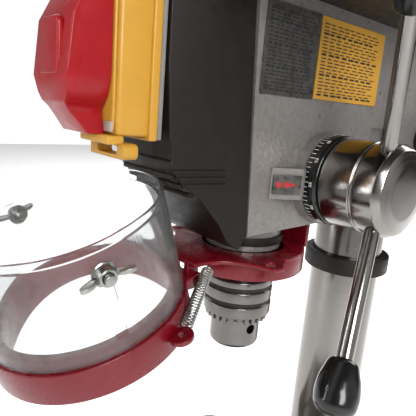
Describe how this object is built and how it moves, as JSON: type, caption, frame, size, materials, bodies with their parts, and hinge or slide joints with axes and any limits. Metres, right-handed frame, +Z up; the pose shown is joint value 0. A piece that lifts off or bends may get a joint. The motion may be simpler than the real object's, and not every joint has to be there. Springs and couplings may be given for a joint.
{
  "type": "bench drill press",
  "caption": "Bench drill press with a round column, swinging table, belt drive, spoked feed handle and a flip-up clear chuck guard.",
  "frame": {"origin": "on the column's axis, on the underside of the base", "axes": "+Z up along the column, -Y towards the operator, +X to the operator's right, where the feed handles are"},
  "size_m": [0.2571, 0.5965, 0.846],
  "materials": {
    "casting": "speckled grey hammer-finish paint",
    "black_plastic": "dark brown-black textured plastic",
    "steel": "ground or turned steel",
    "chrome": "bright plated steel",
    "yellow_plastic": "satin yellow plastic",
    "red_plastic": "glossy red plastic",
    "green_plastic": "glossy green plastic",
    "red_paint": "semi-gloss dark red paint",
    "belt_rubber": "matt black rubber",
    "clear_plastic": "clear polycarbonate",
    "aluminium": "turned or printed aluminium",
    "gasket_foam": "light grey soft gasket"
  },
  "bodies": {
    "frame": {"base": "casting", "column_flange": "casting", "flange_bolt_1": "steel", "flange_bolt_2": "steel", "flange_bolt_3": "steel", "column": "steel", "upper_collar": "black_plastic", "head_casting": "casting", "front_cover": "black_plastic", "pointer_plate": "aluminium", "data_label": "black_plastic", "warning_label": "yellow_plastic", "belt_pan": "black_plastic", "nose_ring": "black_plastic", "cable_gland": "black_plastic", "switch_gasket": "gasket_foam", "switch_housing": "yellow_plastic", "return_spring_cap": "casting", "drive_belt": "belt_rubber", "guard_bracket": "red_paint", "guard_hinge_pin": "steel"},
    "rack_ring": {"rack": "steel"},
    "table_carrier": {"table_bracket": "casting"},
    "work_table": {"table": "casting"},
    "crank": {"table_crank": "black_plastic"},
    "lock_lever": {"table_lock": "steel"},
    "lid": {"belt_lid": "black_plastic", "lid_knob": "black_plastic"},
    "flap": {"switch_flap": "red_plastic"},
    "start": {"start_button": "green_plastic"},
    "stop": {"stop_button": "red_plastic"},
    "quill_unit": {"quill": "steel", "quill_bearing": "steel"},
    "spindle_unit": {"spindle": "steel", "chuck_body": "steel"},
    "sleeve": {"chuck_sleeve": "steel"},
    "jaw_1": {"chuck_jaw_1": "steel"},
    "jaw_2": {"chuck_jaw_2": "steel"},
    "jaw_3": {"chuck_jaw_3": "steel"},
    "front_pulley": {"spindle_pulley": "aluminium"},
    "motor_unit": {"motor_plate": "casting", "motor": "black_plastic"},
    "rear_pulley": {"motor_pulley": "aluminium"},
    "tension_lock": {"tension_knob": "black_plastic"},
    "feed": {"feed_shaft": "steel", "feed_hub": "chrome", "handle_rod_1": "chrome", "handle_rod_2": "chrome", "handle_rod_3": "chrome", "handle_knob_1": "black_plastic", "handle_knob_2": "black_plastic", "handle_knob_3": "black_plastic"},
    "depth_dial": {"depth_ring": "black_plastic"},
    "guard": {"guard_band": "red_paint", "guard_shield": "clear_plastic"},
    "visor": {"guard_visor": "clear_plastic"},
    "nut_1": {"wing_nut_1": "steel"},
    "nut_2": {"wing_nut_2": "steel"},
    "spring_1": {"guard_spring_1": "steel"},
    "spring_2": {"guard_spring_2": "steel"}
  },
  "joints": [
    {"name": "table_swing", "type": "hinge", "parent": "frame", "child": "rack_ring", "pos_m": [0, 0, 0.3], "axis": [0, 0, 1], "range_deg": [-170, 170]},
    {"name": "table_lift", "type": "slide", "parent": "rack_ring", "child": "table_carrier", "axis": [0, 0, 1], "range_m": [-0.118, 0.09]},
    {"name": "table_tilt", "type": "hinge", "parent": "table_carrier", "child": "work_table", "pos_m": [0, -0.06, 0.255], "axis": [0, 1, 0], "range_deg": [-45, 45]},
    {"name": "table_crank_turn", "type": "hinge", "parent": "table_carrier", "child": "crank", "pos_m": [0.06, 0.054, 0.24], "axis": [1, 0, 0], "range_deg": [-4260, 3250]},
    {"name": "table_lock_turn", "type": "hinge", "parent": "table_carrier", "child": "lock_lever", "pos_m": [-0.06, 0, 0.24], "axis": [1, 0, 0], "range_deg": [0, 90]},
    {"name": "lid_hinge", "type": "hinge", "parent": "frame", "child": "lid", "pos_m": [-0.104, 0, 0.765], "axis": [0, -1, 0], "range_deg": [0, 95]},
    {"name": "switch_flap_hinge", "type": "hinge", "parent": "frame", "child": "flap", "pos_m": [0, -0.288, 0.716], "axis": [-1, 0, 0], "range_deg": [0, 100]},
    {"name": "start_press", "type": "slide", "parent": "frame", "child": "start", "axis": [0, 1, 0], "range_m": [0, 0.003], "stiffness_N_per_m": 400},
    {"name": "stop_press", "type": "slide", "parent": "frame", "child": "stop", "axis": [0, 1, 0], "range_m": [0, 0.003], "stiffness_N_per_m": 400},
    {"name": "quill_travel", "type": "slide", "parent": "frame", "child": "quill_unit", "axis": [0, 0, 1], "range_m": [-0.065, 0], "stiffness_N_per_m": 500, "springref_m": 0.12},
    {"name": "spindle_spin", "type": "hinge", "parent": "quill_unit", "child": "spindle_unit", "pos_m": [0, -0.155, 0.6], "axis": [0, 0, 1], "continuous": true},
    {"name": "sleeve_turn", "type": "hinge", "parent": "spindle_unit", "child": "sleeve", "pos_m": [0, -0.155, 0.52], "axis": [0, 0, 1], "range_deg": [0, 720]},
    {"name": "jaw_1_slide", "type": "slide", "parent": "spindle_unit", "child": "jaw_1", "axis": [0, -0.2756, -0.9613], "range_m": [0, 0.0081]},
    {"name": "jaw_2_slide", "type": "slide", "parent": "spindle_unit", "child": "jaw_2", "axis": [0.2387, 0.1378, -0.9613], "range_m": [0, 0.0081]},
    {"name": "jaw_3_slide", "type": "slide", "parent": "spindle_unit", "child": "jaw_3", "axis": [-0.2387, 0.1378, -0.9613], "range_m": [0, 0.0081]},
    {"name": "front_pulley_spin", "type": "hinge", "parent": "frame", "child": "front_pulley", "pos_m": [0, -0.155, 0.77], "axis": [0, 0, 1], "continuous": true},
    {"name": "belt_tension", "type": "slide", "parent": "frame", "child": "motor_unit", "axis": [0, 1, 0], "range_m": [-0.015, 0]},
    {"name": "rear_pulley_spin", "type": "hinge", "parent": "motor_unit", "child": "rear_pulley", "pos_m": [0, 0.15, 0.77], "axis": [0, 0, 1], "continuous": true},
    {"name": "tension_knob_turn", "type": "hinge", "parent": "frame", "child": "tension_lock", "pos_m": [0.06, 0, 0.65], "axis": [1, 0, 0], "range_deg": [0, 360]},
    {"name": "feed_turn", "type": "hinge", "parent": "frame", "child": "feed", "pos_m": [0.05, -0.12, 0.61825], "axis": [1, 0, 0], "range_deg": [0, 312]},
    {"name": "depth_dial_turn", "type": "hinge", "parent": "frame", "child": "depth_dial", "pos_m": [0.053, -0.12, 0.61825], "axis": [1, 0, 0], "range_deg": [-170, 170]},
    {"name": "guard_flip", "type": "hinge", "parent": "frame", "child": "guard", "pos_m": [0, -0.2196, 0.5513], "axis": [1, 0, 0], "range_deg": [0, 161.7]},
    {"name": "visor_height", "type": "slide", "parent": "guard", "child": "visor", "axis": [0, -0.314, 0.9494], "range_m": [0, 0.006]},
    {"name": "wing_nut_1_turn", "type": "hinge", "parent": "guard", "child": "nut_1", "pos_m": [0.0589, -0.306, 0.584], "axis": [0.9925, -0.1157, -0.0383], "range_deg": [0, 720]},
    {"name": "guard_spring_1_swing", "type": "hinge", "parent": "frame", "child": "spring_1", "pos_m": [0.0265, -0.211, 0.563], "axis": [1, 0, 0], "range_deg": [0, 133], "deforming": ["guard_spring_1"]},
    {"name": "wing_nut_2_turn", "type": "hinge", "parent": "guard", "child": "nut_2", "pos_m": [-0.0589, -0.306, 0.584], "axis": [-0.9925, -0.1157, -0.0383], "range_deg": [0, 720]},
    {"name": "guard_spring_2_swing", "type": "hinge", "parent": "frame", "child": "spring_2", "pos_m": [-0.0265, -0.211, 0.563], "axis": [1, 0, 0], "range_deg": [0, 133], "deforming": ["guard_spring_2"]}
  ],
  "couplings": [
    {"joint": "table_crank_turn", "follows": "table_lift", "rad_per_m": 628.3},
    {"joint": "feed_turn", "follows": "quill_travel", "rad_per_m": -83.333},
    {"joint": "front_pulley_spin", "follows": "spindle_spin", "ratio": 1},
    {"joint": "rear_pulley_spin", "follows": "spindle_spin", "ratio": 1.2381},
    {"joint": "jaw_1_slide", "follows": "sleeve_turn", "m_per_rad": 0.00064},
    {"joint": "jaw_2_slide", "follows": "sleeve_turn", "m_per_rad": 0.00064},
    {"joint": "jaw_3_slide", "follows": "sleeve_turn", "m_per_rad": 0.00064},
    {"joint": "guard_spring_1_swing", "follows": "guard_flip", "ratio": 0.82},
    {"joint": "guard_spring_2_swing", "follows": "guard_flip", "ratio": 0.82}
  ]
}
